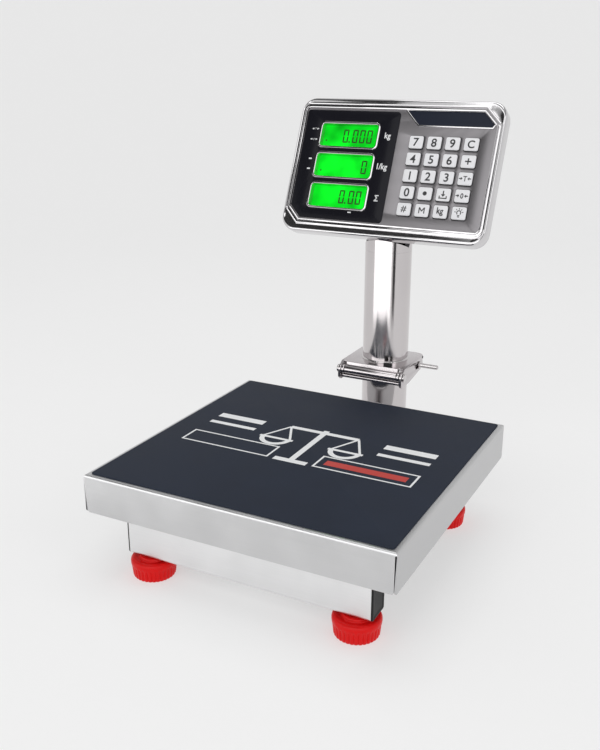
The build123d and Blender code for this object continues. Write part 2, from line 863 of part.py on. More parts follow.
key_flange = 1.0
key_base = -6.2
key_top = -0.9
mat_top = key_base - key_travel - 0.2
with BuildPart() as keypad_mat:
    with BuildSketch(face.offset(board_front)):
        with Locations((53.5, -6.7)):
            RectangleRounded(80, 88, 3)
    extrude(amount=mat_top - 0.4 - board_front)
    with BuildSketch(face.offset(mat_top - 0.4)):
        with Locations(*[(x, y) for y in key_rows for x in key_columns]):
            Circle(4)
    extrude(amount=0.4)
finish(keypad_mat, "keypad_mat")

# Main board, its tall parts behind it, and the charger jack behind the rear wall.
board_thickness = 1.6
tall_parts = [
    ((-20, 25), (24, 12), 4),
    ((30, 30), (18, 18), 2.5),
    ((60, -35), (14, 14), 2.5),
    ((0, -30), (10, 22), 6),
    ((25, 0), (8, 8), 7),
]
jack_depth = 9.0
with BuildPart() as main_board:
    with BuildSketch(face.offset(board_front)):
        RectangleRounded(180, 104, 2)
    extrude(amount=-board_thickness)
    for spot, size, tall in tall_parts:
        with BuildSketch(face.offset(board_front - board_thickness)):
            with Locations(spot):
                Rectangle(*size)
        extrude(amount=-tall)
    with BuildSketch(face.offset(-head_depth + shell_wall)):
        with Locations(jack_spot):
            Rectangle(12, 12)
            Circle(jack_radius, mode=Mode.SUBTRACT)
    extrude(amount=jack_depth)
finish(main_board, "main_board")

with BuildPart() as battery:
    with BuildSketch(face.offset(-head_depth + shell_wall)):
        with Locations((-74, 0)):
            RectangleRounded(46, 98, 3)
    extrude(amount=18)
finish(battery, "battery")

# Power switch: a rocker, standing in its "on" position.
rocker_lean = math.radians(lean + rocker_tilt)
rocker_plane = Plane(
    origin=pivot_axis.origin,
    x_dir=(1, 0, 0),
    z_dir=(0, -math.cos(rocker_lean), math.sin(rocker_lean)),
)
rocker_front = 3.2
with BuildPart() as power_rocker:
    with BuildSketch(rocker_plane.offset(-rocker_pivot_depth - rocker_front)):
        RectangleRounded(rocker_width, rocker_length, 1)
    extrude(amount=rocker_depth)
    with BuildSketch(pivot_axis.offset(-bearing_middle - bearing_wide / 2)):
        Circle(rocker_pin)
    extrude(amount=2 * bearing_middle + bearing_wide)
finish(power_rocker, "power_rocker")

# ---------------------------------------------------------------- keys

key_names = [
    ("7", "8", "9", "clear"),
    ("4", "5", "6", "add"),
    ("1", "2", "3", "tare"),
    ("0", "point", "store", "set_zero"),
    ("count", "memory", "unit", "light"),
]
for row_names, key_y in zip(key_names, key_rows):
    for key_name, key_x in zip(row_names, key_columns):
        with BuildPart() as key:
            with BuildSketch(face.offset(key_base)):
                with Locations((key_x, key_y)):
                    RectangleRounded(key_width + 2, key_height + 2, 2)
            extrude(amount=key_flange)
            with BuildSketch(face.offset(key_base)):
                with Locations((key_x, key_y)):
                    RectangleRounded(key_width, key_height, 2)
            extrude(amount=key_top - key_base)
            fillet(key.faces().sort_by(Axis((0, 0, 0), face.z_dir))[-1].edges(), 0.8)
        finish(key, "key_" + key_name)
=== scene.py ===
"""Looks for the price-computing platform scale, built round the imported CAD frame.

Helper arguments are in millimetres; a piece's points are made in metres, in the frame's own axes.
"""
import json
import math

import bmesh
import bpy
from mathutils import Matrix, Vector


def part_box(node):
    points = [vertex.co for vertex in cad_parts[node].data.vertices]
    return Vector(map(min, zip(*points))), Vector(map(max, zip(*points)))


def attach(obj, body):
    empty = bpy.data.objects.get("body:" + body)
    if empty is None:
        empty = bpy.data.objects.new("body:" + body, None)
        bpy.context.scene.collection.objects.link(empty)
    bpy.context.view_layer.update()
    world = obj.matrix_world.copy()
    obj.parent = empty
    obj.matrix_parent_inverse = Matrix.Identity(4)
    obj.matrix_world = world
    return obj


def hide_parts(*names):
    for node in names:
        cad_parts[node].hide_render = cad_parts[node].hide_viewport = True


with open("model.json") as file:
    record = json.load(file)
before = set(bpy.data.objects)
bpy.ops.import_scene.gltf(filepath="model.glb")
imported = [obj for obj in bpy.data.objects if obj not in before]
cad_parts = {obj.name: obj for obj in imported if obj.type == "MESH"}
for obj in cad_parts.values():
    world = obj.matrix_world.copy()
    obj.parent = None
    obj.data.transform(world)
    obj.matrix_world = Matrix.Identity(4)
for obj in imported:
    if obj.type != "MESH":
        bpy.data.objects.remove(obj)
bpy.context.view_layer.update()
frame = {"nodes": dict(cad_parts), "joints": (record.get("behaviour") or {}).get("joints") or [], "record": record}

MM = 0.001

# ------------------------------------------------------------------ places, from the frame


def middle(node):
    """Centre of a CAD node's box, in mm."""
    low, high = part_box(node)
    return (low + high) / 2 / MM


tray_low, tray_high = (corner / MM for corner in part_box("platform_tray"))
tray_middle = middle("platform_tray")
post_middle = middle("upper_post")
joints = {joint["name"]: joint for joint in frame["joints"]}

FACE_NORMAL = -Vector(joints["key_5_press"]["axis"]).normalized()
FACE_UP = FACE_NORMAL.cross(Vector((1, 0, 0)))
LCD_MIDDLE = -7.4
face_origin = middle("lcd_modules") - FACE_NORMAL * LCD_MIDDLE
face_origin.x = 0


def on_face(x, y, w):
    """Point x right, y up and w out of the head's front face."""
    return (face_origin + Vector((x, 0, 0)) + FACE_UP * y + FACE_NORMAL * w) * MM


def face_at(x0, y0):
    return lambda x, y, w: on_face(x0 + x, y0 + y, w)


def upright(x0, y0):
    """Outlines lie flat and depth runs up Z."""
    return lambda x, y, z: Vector((x0 + x, y0 + y, z)) * MM


def sideways(y0, z0):
    """Outlines stand in the YZ plane and depth runs along X."""
    return lambda a, b, x: Vector((x, y0 + a, z0 + b)) * MM


# ------------------------------------------------------------------ outlines


def box_outline(right, top, left, bottom, corners, steps=6):
    """Rectangle, anticlockwise from top right; each corner is ("round" or "cut", size)."""
    spots = ((right, top), (left, top), (left, bottom), (right, bottom))
    points = []
    for turn, ((x, y), (kind, size)) in enumerate(zip(spots, corners)):
        a = turn * math.pi / 2
        cx = x - size * (math.cos(a) - math.sin(a))
        cy = y - size * (math.sin(a) + math.cos(a))
        for i in range(steps + 1):
            t = i / steps
            if kind == "round":
                b = a + t * math.pi / 2
                points.append((cx + size * math.cos(b), cy + size * math.sin(b)))
            else:
                across = (1 - t) * math.cos(a) - t * math.sin(a)
                up = (1 - t) * math.sin(a) + t * math.cos(a)
                points.append((cx + size * across, cy + size * up))
    return points


def rounded_box(width, height, radius, centre=(0, 0), steps=6):
    x, y = centre
    corners = [("round", radius)] * 4
    return box_outline(x + width / 2, y + height / 2, x - width / 2, y - height / 2, corners, steps)


def circle(radius, sides=48, centre=(0, 0)):
    x, y = centre
    turns = [2 * math.pi * i / sides for i in range(sides)]
    return [(x + radius * math.cos(a), y + radius * math.sin(a)) for a in turns]


def grown(points, by):
    """The outline moved outwards, each corner along its mitre."""
    moved = []
    for i, point in enumerate(points):
        here = Vector(point)
        before = (here - Vector(points[i - 1])).normalized()
        after = (Vector(points[(i + 1) % len(points)]) - here).normalized()
        one = Vector((before.y, -before.x))
        two = Vector((after.y, -after.x))
        moved.append(tuple(here + (one + two) * (by / (1 + one.dot(two)))))
    return moved


def between(one, two, t):
    return [(a + (c - a) * t, b + (d - b) * t) for (a, b), (c, d) in zip(one, two)]


# ------------------------------------------------------------------ mesh tools


def linked(name, data):
    obj = bpy.data.objects.new(name, data)
    bpy.context.scene.collection.objects.link(obj)
    return obj


def skin(bm, loops, caps=(True, True), ring=False, material=0):
    """Quads over loops with equal numbers of points; ring joins the last loop to the first."""
    rings = [[bm.verts.new(point) for point in loop] for loop in loops]
    faces = []
    for one, two in zip(rings, rings[1:] + rings[:1] if ring else rings[1:]):
        for i in range(len(one)):
            j = (i + 1) % len(one)
            faces.append(bm.faces.new((one[i], one[j], two[j], two[i])))
    if not ring and caps[0]:
        faces.append(bm.faces.new(rings[0][::-1]))
    if not ring and caps[1]:
        faces.append(bm.faces.new(rings[-1]))
    for face in faces:
        face.material_index = material
    return rings


def section(bm, outline, profile, place, caps=(True, True), ring=False, material=0):
    """Skin over one outline; profile is (how much it grows, depth) for each loop."""
    loops = [[place(x, y, w) for x, y in grown(outline, by)] for by, w in profile]
    return skin(bm, loops, caps, ring, material)


def turned(bm, profile, place, sides=64, caps=(True, True), ring=False, material=0):
    """Skin of circles; profile is (radius, depth)."""
    loops = [[place(x, y, w) for x, y in circle(r, sides)] for r, w in profile]
    return skin(bm, loops, caps, ring, material)


def plate(bm, outline, holes, front, back, place, soften=0.25):
    """Flat sheet with holes, its front edges rounded over."""
    away = math.copysign(soften, front - back)
    rims = []
    for points, sign in [(outline, -1)] + [(hole, 1) for hole in holes]:
        profile = (
            (sign * soften, front),
            (sign * soften * 0.3, front - away * 0.3),
            (0, front - away),
            (0, back),
        )
        rings = section(bm, points, profile, place, caps=(False, False))
        rims.append((rings[0], rings[-1]))
    for end in (0, 1):
        edges = []
        for rim in rims:
            loop = rim[end]
            edges += [bm.edges.get((loop[i - 1], loop[i])) for i in range(len(loop))]
        bmesh.ops.triangle_fill(bm, use_beauty=True, edges=edges)


def piece(name, bm, body, finish, replaces=(), crease=32):
    """Make bm an object that rides on body; edges that turn more than crease degrees stay sharp."""
    bmesh.ops.recalc_face_normals(bm, faces=bm.faces)
    limit = math.radians(crease)
    for face in bm.faces:
        face.smooth = True
    for edge in bm.edges:
        edge.smooth = len(edge.link_faces) != 2 or edge.calc_face_angle(0) < limit
    mesh = bpy.data.meshes.new(name)
    bm.to_mesh(mesh)
    bm.free()
    obj = linked(name, mesh)
    for material in finish if isinstance(finish, tuple) else (finish,):
        mesh.materials.append(material)
    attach(obj, body)
    if replaces:
        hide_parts(*replaces)
    return obj


def softened(node, body, finish, width=0.4, segments=2, name=None):
    """A copy of a CAD node with its hard edges rounded over."""
    bm = bmesh.new()
    bm.from_mesh(frame["nodes"][node].data)
    bmesh.ops.remove_doubles(bm, verts=bm.verts, dist=0.005 * MM)
    bmesh.ops.dissolve_limit(bm, angle_limit=math.radians(1), verts=bm.verts, edges=bm.edges)
    sharp = math.radians(40)
    edges = [e for e in bm.edges if len(e.link_faces) == 2 and e.calc_face_angle(0) > sharp]
    bmesh.ops.bevel(
        bm, geom=edges, offset=width * MM, segments=segments, profile=0.5, affect="EDGES",
        clamp_overlap=False,
    )
    return piece(name or node + "_soft", bm, body, finish, (node,), 40)


# ------------------------------------------------------------------ materials


def surface(name, colour, metallic=0.0, roughness=0.5, grain=(1, 1, 1), tint=0.06,
            spread=0.06, bump=0.1, depth=0.02, detail=4.0, glow=0.0, **sockets):
    """Principled material; noise stretched by grain (per mm) varies colour, gloss and height."""
    mat = bpy.data.materials.new(name)
    mat.use_nodes = True
    nodes, links = mat.node_tree.nodes, mat.node_tree.links
    shader = nodes["Principled BSDF"]
    shader.inputs["Metallic"].default_value = metallic
    for key, value in sockets.items():
        shader.inputs[key.replace("_", " ")].default_value = value
    place = nodes.new("ShaderNodeTexCoord")
    stretch = nodes.new("ShaderNodeMapping")
    stretch.inputs["Scale"].default_value = [g / MM for g in grain]
    noise = nodes.new("ShaderNodeTexNoise")
    noise.inputs["Scale"].default_value = 1.0
    noise.inputs["Detail"].default_value = detail
    links.new(place.outputs["Object"], stretch.inputs["Vector"])
    links.new(stretch.outputs["Vector"], noise.inputs["Vector"])
    blotch = nodes.new("ShaderNodeTexNoise")
    blotch.inputs["Scale"].default_value = 25.0
    blotch.inputs["Detail"].default_value = 3.0
    links.new(place.outputs["Object"], blotch.inputs["Vector"])
    both = nodes.new("ShaderNodeMath")
    both.operation = "ADD"
    links.new(noise.outputs["Fac"], both.inputs[0])
    links.new(blotch.outputs["Fac"], both.inputs[1])
    shade = nodes.new("ShaderNodeMapRange")
    shade.inputs["From Min"].default_value = 0.6
    shade.inputs["From Max"].default_value = 1.4
    shade.inputs["To Min"].default_value = 1 - tint
    shade.inputs["To Max"].default_value = 1 + tint
    links.new(both.outputs[0], shade.inputs["Value"])
    mix = nodes.new("ShaderNodeMix")
    mix.data_type = "RGBA"
    mix.blend_type = "MULTIPLY"
    mix.inputs["Factor"].default_value = 1.0
    mix.inputs[6].default_value = (*colour, 1)
    links.new(shade.outputs["Result"], mix.inputs[7])
    links.new(mix.outputs[2], shader.inputs["Base Color"])
    if glow:
        links.new(mix.outputs[2], shader.inputs["Emission Color"])
        shader.inputs["Emission Strength"].default_value = glow
    gloss = nodes.new("ShaderNodeMapRange")
    gloss.inputs["From Min"].default_value = 0.6
    gloss.inputs["From Max"].default_value = 1.4
    gloss.inputs["To Min"].default_value = max(roughness - spread, 0.02)
    gloss.inputs["To Max"].default_value = roughness + spread
    links.new(both.outputs[0], gloss.inputs["Value"])
    links.new(gloss.outputs["Result"], shader.inputs["Roughness"])
    if bump:
        height = nodes.new("ShaderNodeBump")
        height.inputs["Strength"].default_value = bump
        height.inputs["Distance"].default_value = depth * MM
        links.new(noise.outputs["Fac"], height.inputs["Height"])
        links.new(height.outputs["Normal"], shader.inputs["Normal"])
    return mat


tray_steel = surface("tray_steel", (0.56, 0.56, 0.565), 1, 0.36, (0.02, 6, 6), 0.05, 0.08, 0.25)
frame_steel = surface("frame_steel", (0.78, 0.78, 0.785), 1, 0.36, (0.02, 6, 6), 0.05, 0.08, 0.25)
inner_steel = surface("inner_steel", (0.5, 0.51, 0.53), 1, 0.45, (0.4, 0.4, 0.4), 0.1, 0.1, 0.1)
post_steel = surface("post_steel", (0.62, 0.59, 0.595), 1, 0.13, (3, 3, 0.02), 0.04, 0.03, 0.05)
bracket_steel = surface("bracket_steel", (0.56, 0.53, 0.54), 1, 0.18, (0.03, 4, 4), 0.05, 0.06,
                        0.12)
bright_steel = surface("bright_steel", (0.60, 0.58, 0.58), 1, 0.12, (0.05, 5, 5), 0.03, 0.04, 0.05)
zinc_steel = surface("zinc_steel", (0.60, 0.61, 0.63), 1, 0.35, (1, 1, 1), 0.06, 0.08, 0.1)
cell_aluminium = surface("cell_aluminium", (0.75, 0.76, 0.77), 1, 0.35, (4, 0.05, 4), 0.05, 0.06,
                         0.2)
chrome = surface("chrome", (0.66, 0.65, 0.66), 1, 0.08, (0.3, 0.3, 0.3), 0.02, 0.03, 0.0)
black_plastic = surface("black_plastic", (0.010, 0.010, 0.011), 0, 0.45, (2, 2, 2), 0.2, 0.08, 0.15,
                        Specular_IOR_Level=0.2)
pad_rubber = surface("pad_rubber", (0.02, 0.02, 0.02), 0, 0.75, (3, 3, 3), 0.2, 0.05, 0.2)
foot_red = surface("foot_red", (0.74, 0.006, 0.006), 0, 0.34, (1.2, 1.2, 1.2), 0.08, 0.07, 0.12,
                   Specular_IOR_Level=0.15)
mat_grain = surface("mat_grain", (0.023, 0.029, 0.045), 0, 0.7, (2.5, 2.5, 2.5), 0.15, 0.06, 0.35,
                    Specular_IOR_Level=0.12)
shell_plastic = surface("shell_plastic", (0.36, 0.36, 0.38), 0, 0.42, (4, 4, 4), 0.04, 0.05, 0.2)
panel_silver = surface("panel_silver", (0.25, 0.24, 0.25), 0.85, 0.34, (0.1, 6, 6), 0.05, 0.05, 0.1)
display_black = surface("display_black", (0.010, 0.010, 0.014), 0, 0.22, (1, 1, 1), 0.1, 0.03, 0.0,
                        Specular_IOR_Level=0.12)
nameplate_blue = surface("nameplate_blue", (0.015, 0.019, 0.032), 0, 0.25, (1, 1, 1), 0.1, 0.03,
                         0.0, Specular_IOR_Level=0.15)
key_silver = surface("key_silver", (0.80, 0.80, 0.82), 0.0, 0.3, (2, 2, 2), 0.02, 0.04, 0.05)
# Painted shade: the key skirts are the same plastic as the tops, coloured dark grey to stand for the shade in the
# gaps round the keys.
key_skirt_painted_shade = surface("key_skirt_painted_shade", (0.06, 0.06, 0.065), 0, 0.4, (2, 2, 2), 0.05, 0.04, 0.0)
lcd_green = surface("lcd_green", (0.002, 0.52, 0.012), 0, 0.4, (0.05, 0.05, 0.05), 0.45, 0.02, 0.0,
                    detail=1.0, glow=0.75, Specular_IOR_Level=0.03)
lcd_dark = surface("lcd_dark", (0.02, 0.045, 0.012), 0, 0.5, (1, 1, 1), 0.1, 0.02, 0.0,
                   Specular_IOR_Level=0.2)
print_white = surface("print_white", (0.80, 0.81, 0.82), 0, 0.5, (2, 2, 2), 0.03, 0.05, 0.0)
print_red = surface("print_red", (0.50, 0.03, 0.02), 0, 0.5, (2, 2, 2), 0.05, 0.05, 0.0)
print_dark = surface("print_dark", (0.03, 0.03, 0.033), 0, 0.5, (2, 2, 2), 0.05, 0.05, 0.0)
silicone = surface("silicone", (0.10, 0.10, 0.105), 0, 0.5)
board_green = surface("board_green", (0.01, 0.13, 0.06), 0, 0.35)
battery_case = surface("battery_case", (0.03, 0.03, 0.035), 0, 0.4)

finish_of_slot = {
    "frame_steel": frame_steel, "tray_steel": tray_steel, "inner_steel": inner_steel,
    "post_steel": post_steel, "bracket_steel": bracket_steel, "bright_steel": bright_steel,
    "zinc_steel": zinc_steel, "cell_aluminium": cell_aluminium, "chrome_trim": chrome,
    "plug_plastic": black_plastic, "pad_rubber": pad_rubber, "foot_red": foot_red,
    "mat_sheet": mat_grain, "shell_plastic": shell_plastic, "panel_silver": panel_silver,
    "display_black": display_black, "lcd_green": lcd_green, "nameplate_blue": nameplate_blue,
    "key_silver": key_silver, "keypad_rubber": silicone, "board_green": board_green,
    "battery_case": battery_case, "rocker_black": black_plastic,
}
for part in frame["record"]["subparts"]:
    mesh = frame["nodes"][part["node"]].data
    mesh.materials.clear()
    mesh.materials.append(finish_of_slot[part["material_slot"]])

# ------------------------------------------------------------------ printed marks


def print_on(name, outlines, body, finish, place, w):
    """Flat ink: each outline becomes one face, w out from its surface, just over the last one."""
    layer = 0.002
    bm = bmesh.new()
    for i, outline in enumerate(outlines):
        bm.faces.new([bm.verts.new(place(x, y, w + layer * i)) for x, y in outline])
    return piece(name, bm, body, finish)


def glyph_faces(text, size, bold=0.0, squeeze=1.0, centre=(0, 0)):
    """Outlines of the faces of some figures, centred, size high in mm."""
    curve = bpy.data.curves.new("figures", "FONT")
    curve.body = text
    curve.size = size * 1.37
    curve.align_x = "CENTER"
    curve.offset = bold
    text_object = linked("figures", curve)
    bpy.context.view_layer.update()
    mesh = bpy.data.meshes.new_from_object(text_object.evaluated_get(
        bpy.context.evaluated_depsgraph_get()))
    xs = [v.co.x for v in mesh.vertices]
    ys = [v.co.y for v in mesh.vertices]
    mid_x = (min(xs) + max(xs)) / 2
    mid_y = (min(ys) + max(ys)) / 2
    faces = []
    for polygon in mesh.polygons:
        corners = [mesh.vertices[i].co for i in polygon.vertices]
        faces.append([
            ((c.x - mid_x) * squeeze + centre[0], c.y - mid_y + centre[1]) for c in corners
        ])
    bpy.data.objects.remove(text_object)
    bpy.data.curves.remove(curve)
    bpy.data.meshes.remove(mesh)
    return faces


def bar(x0, y0, x1, y1, thick):
    """Straight stroke as one outline."""
    along = Vector((x1 - x0, y1 - y0)).normalized() * thick / 2
    side = Vector((-along.y, along.x))
    return [(x0 - side.x, y0 - side.y), (x1 - side.x, y1 - side.y),
            (x1 + side.x, y1 + side.y), (x0 + side.x, y0 + side.y)]


def arc_band(cx, cy, radius, thick, start, end, steps=16):
    """Curved stroke, as one outline for each step; angles in degrees."""
    bands = []
    for i in range(steps):
        a = math.radians(start + (end - start) * i / steps)
        b = math.radians(start + (end - start) * (i + 1) / steps)
        near, far = radius - thick / 2, radius + thick / 2
        bands.append([(cx + near * math.cos(a), cy + near * math.sin(a)),
                      (cx + far * math.cos(a), cy + far * math.sin(a)),
                      (cx + far * math.cos(b), cy + far * math.sin(b)),
                      (cx + near * math.cos(b), cy + near * math.sin(b))])
    return bands


# ------------------------------------------------------------------ tray and mat


def tray():
    """Pan bent from one sheet: rounded bends, open corner seams and rounded lower corners."""
    sheet, bend, low_round = 1.5, 2.0, 3.0
    top, low = tray_high.z, tray_low.z
    half_x, half_y = tray_high.x, (tray_high.y - tray_low.y) / 2
    bm = bmesh.new()
    arc = [math.radians(15 * i) for i in range(1, 7)]
    outer = [(-bend - 1, top), (-bend, top)]
    outer += [(bend * (math.sin(a) - 1), top - bend * (1 - math.cos(a))) for a in arc]
    outer += [(0, top - bend - 0.6)]
    outer += [(0, low + h) for h in (3.0, 2.2, 1.5, 0.9, 0.3)] + [(-0.3, low)]
    inner = [(0.3 - sheet, low)] + [(-sheet, low + h) for h in (0.3, 0.9, 1.5, 2.2, 3.0)]
    inner += [(-sheet, top - bend - 0.6), (-sheet, top - bend), (-bend, top - sheet)]
    inner += [(-bend - 1, top - sheet)]

    def strip(along, out, half, reach, lap):
        def end(d, z):
            if z > top - bend - 0.3:
                return half + d
            rise = min(max(z - low, 0), low_round)
            return half - lap - low_round + math.sqrt(low_round ** 2 - (low_round - rise) ** 2)

        loops = []
        for sign in (-1, 1):
            loop = []
            for d, z in outer + inner:
                spot = along * (sign * end(d, z)) + out * (reach + d)
                loop.append(Vector((spot.x, spot.y + tray_middle.y, z)) * MM)
            loops.append(loop)
        skin(bm, loops)

    right, back = Vector((1, 0, 0)), Vector((0, 1, 0))
    for sign in (-1, 1):
        strip(right, back * sign, half_x, half_y, sheet + 0.25)
        strip(back, right * sign, half_y, half_x, 0)
    flat = [(half_x - 3, half_y - 3), (3 - half_x, half_y - 3)]
    flat += [(3 - half_x, 3 - half_y), (half_x - 3, 3 - half_y)]
    section(bm, flat, ((0, top - sheet), (0, top)), upright(0, tray_middle.y))
    bmesh.ops.triangulate(bm, faces=[f for f in bm.faces if len(f.verts) > 4])
    piece("tray_pan", bm, "tray", tray_steel, ("platform_tray",))


def mat_sheet():
    low, high = (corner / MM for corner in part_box("platform_mat"))
    bm = bmesh.new()
    outline = rounded_box(high.x - low.x, high.y - low.y, 3)
    top = high.z
    profile = ((0, low.z), (0, top - 0.3), (-0.1, top - 0.1), (-0.35, top))
    section(bm, outline, profile, upright(0, tray_middle.y))
    piece("mat", bm, "tray", mat_grain, ("platform_mat",))

    # A plain pictogram of a pair of scales between two framed bars.
    marks = [bar(0, -36, 0, 40, 6), bar(-17, -39, 17, -39, 7), bar(-37, 34, 37, 34, 6)]
    for side in (-1, 1):
        marks += arc_band(side * 37, 2, 14, 5, 180, 360)
        marks += [bar(side * 37, 34, side * (37 + lean), 2, 2.4) for lean in (-15, 15)]
        marks += [bar(side * 37 - 18, 2, side * 37 + 18, 2, 4)]
        for y, thick in ((30, 10), (11, 6)):
            marks.append(bar(side * 66, y, side * 118, y, thick))
        for y in (-16, -40):
            marks.append(bar(side * 24, y, side * 118, y, 2))
        for x in (24, 118):
            marks.append(bar(side * x, -41, side * x, -15, 2))
    place = upright(0, tray_middle.y + 4)
    print_on("mat_mark", marks, "tray", print_white, place, top + 0.03)
    print_on("mat_stripe", [bar(31, -28, 111, -28, 10)], "tray", print_red, place, top + 0.03)


tray()
mat_sheet()

# ------------------------------------------------------------------ base


def cross_tube(node, name):
    low, high = (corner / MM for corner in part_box(node))
    outline = rounded_box(high.y - low.y, high.z - low.z, 2.5, steps=8)
    bm = bmesh.new()
    ends = (low.x, high.x)
    profile = [(-0.25, ends[0]), (0, ends[0] + 0.25), (0, ends[1] - 0.25), (-0.25, ends[1])]
    profile += [(-2, ends[1]), (-2, ends[0])]
    place = sideways((low.y + high.y) / 2, (low.z + high.z) / 2)
    section(bm, outline, profile, place, ring=True)
    piece(name, bm, "base", frame_steel, (node,))


def end_plug(bm, place, width, height, out):
    """Push-in plug: a softly domed flange with a shallow dish, and a stem."""
    profile = [(2.6, -8), (2.4, -7), (2.4, 0), (0, 0), (0, 0.8), (0.3, 1.25), (0.9, 1.5)]
    profile += [(2.2, 1.5), (2.6, 1.2), (4.5, 1.05)]
    loops = []
    for inset, w in profile:
        outline = rounded_box(width - 2 * inset, height - 2 * inset, max(2.5 - inset, 0.6))
        loops.append([place(x, y, out * w) for x, y in outline])
    skin(bm, loops)


cross_tube("front_cross_tube", "front_tube")
cross_tube("rear_cross_tube", "rear_tube")
bm = bmesh.new()
for node in ("front_cross_tube", "rear_cross_tube"):
    low, high = (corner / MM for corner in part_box(node))
    for side in (-1, 1):
        shift = (side * high.x, (low.y + high.y) / 2, (low.z + high.z) / 2)
        place = (lambda s: lambda a, b, x: Vector((s[0] + x, s[1] + a, s[2] + b)) * MM)(shift)
        end_plug(bm, place, high.y - low.y, high.z - low.z, side)
arm_low, arm_high = (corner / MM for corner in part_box("post_arm"))
arm_middle = (arm_low + arm_high) / 2
end_plug(
    bm,
    lambda a, b, w: Vector((arm_middle.x + a, arm_high.y + w, arm_middle.z + b)) * MM,
    arm_high.x - arm_low.x,
    arm_high.z - arm_low.z,
    1,
)
piece("end_plugs", bm, "base", black_plastic, ("tube_end_plugs",))


def foot(corner):
    """Moulded knob foot: ribs round the side, a smooth rounded rim and a raised hub."""
    low, high = (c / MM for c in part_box(corner + "_foot"))
    x, y = (low.x + high.x) / 2, (low.y + high.y) / 2
    profile = (
        (8, 1.2, 0), (15, 1.2, 0), (15.6, 0, 0), (17.9, 0, 0.5), (19.2, 0.4, 0.9), (19.8, 1.4, 1),
        (20.3, 6, 1), (20.75, 10.6, 1), (21.1, 11.8, 0.65), (21.3, 12.9, 0.2), (21.4, 13.9, 0),
        (21.4, 15.4, 0), (21.2, 16.6, 0), (20.6, 17.6, 0), (19.6, 18.3, 0), (18.3, 18.5, 0),
        (16.4, 18.4, 0), (14.6, 17.6, 0), (13.8, 17.4, 0), (13.2, 17.8, 0), (13, 18.6, 0),
        (12.9, 19.9, 0), (12.4, 20.4, 0), (6.2, 20.4, 0), (5.6, 19.8, 0), (5.6, 19, 0),
    )
    ribs, per_rib = 32, 8
    loops = []
    for radius, z, depth in profile:
        loop = []
        for i in range(ribs * per_rib):
            a = 2 * math.pi * i / (ribs * per_rib)
            valley = 1 - abs(math.cos(a * ribs / 2)) ** 0.7
            r = radius - depth * 0.9 * valley
            loop.append(Vector((x + r * math.cos(a), y + r * math.sin(a), z)) * MM)
        loops.append(loop)
    bm = bmesh.new()
    skin(bm, loops)
    piece(corner + "_knob", bm, corner + "_foot", foot_red, (corner + "_foot",), 50)


def stud(corner):
    """Stud with a rolled helical thread."""
    low, high = (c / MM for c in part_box(corner + "_stud"))
    x, y = (low.x + high.x) / 2, (low.y + high.y) / 2
    pitch, sides = 1.5, 24
    steps = int((high.z - low.z) / pitch * 8)
    loops = []
    for k in range(steps + 1):
        z = low.z + (high.z - low.z) * k / steps
        loop = []
        for i in range(sides):
            a = 2 * math.pi * i / sides
            wave = abs(((z / pitch - i / sides) % 1) - 0.5) * 2
            r = min(4.15 + 0.85 * wave, 3.6 + (high.z - z) * 1.2)
            loop.append(Vector((x + r * math.cos(a), y + r * math.sin(a), z)) * MM)
        loops.append(loop)
    bm = bmesh.new()
    skin(bm, loops)
    node = corner + "_stud"
    piece(corner + "_thread", bm, node, zinc_steel, (node,), 60)


for corner in ("front_left", "front_right", "rear_left", "rear_right"):
    foot(corner)
    stud(corner)

# ------------------------------------------------------------------ post and hinge


def tube(name, node, body, top=None, bottom=None):
    """Round tube with softened rims."""
    low, high = (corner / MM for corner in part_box(node))
    top = top or high.z
    bottom = bottom or low.z
    radius = (high.x - low.x) / 2
    profile = ((radius - 0.1, bottom), (radius, bottom + 0.1), (radius, top - 0.1))
    profile += ((radius - 0.1, top), (radius - 1.5, top), (radius - 1.5, bottom))
    bm = bmesh.new()
    turned(bm, profile, upright(post_middle.x, post_middle.y), 128, ring=True)
    piece(name, bm, body, post_steel, (node,))


def weld(name, body, radius, z, up=1):
    """Bead of weld round the foot of a tube, with its ripples."""
    sides = 240
    profile = ((radius - 0.2, 1.2), (radius + 0.3, 1.05), (radius + 0.7, 0.75), (radius + 1.0, 0.4))
    profile += ((radius + 1.2, 0.02),)
    loops = []
    for r, h in profile:
        loop = []
        for i in range(sides):
            a = 2 * math.pi * i / sides
            ripple = 1 + 0.10 * math.cos(i * 2 * math.pi / 4) + 0.08 * math.sin(3 * a + 1)
            out = radius + (r - radius) * ripple
            across = (out * math.cos(a), out * math.sin(a), up * h)
            loop.append((Vector((post_middle.x, post_middle.y, z)) + Vector(across)) * MM)
        loops.append(loop)
    bm = bmesh.new()
    skin(bm, loops, caps=(False, False))
    piece(name, bm, body, bright_steel)


tube("post_tube_upper", "upper_post", "post", top=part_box("upper_post")[1].z / MM + 0.27)
tube("post_tube_lower", "lower_post", "base")
upper_plate_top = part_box("upper_hinge_bracket")[1].z / MM
weld("upper_weld", "post", 25, upper_plate_top)
weld("lower_weld", "base", 25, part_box("post_arm")[1].z / MM)
softened("upper_hinge_bracket", "post", bracket_steel, 0.5, 3)
softened("lower_hinge_bracket", "base", bracket_steel, 0.4)
softened("hinge_pin", "base", bright_steel, 0.3)
softened("latch_rod", "latch", bright_steel, 0.25)

# Moulded stop on the hinge plate's front edge.
plate_top = upright(17, joints["post_fold"]["pos_m"][1] / MM + 5)
bm = bmesh.new()
profile = ((0, upper_plate_top), (0, upper_plate_top + 3), (-0.3, upper_plate_top + 3.7))
section(bm, rounded_box(9, 4, 1), profile + ((-0.9, upper_plate_top + 4),), plate_top)
piece("hinge_stop", bm, "post", black_plastic)



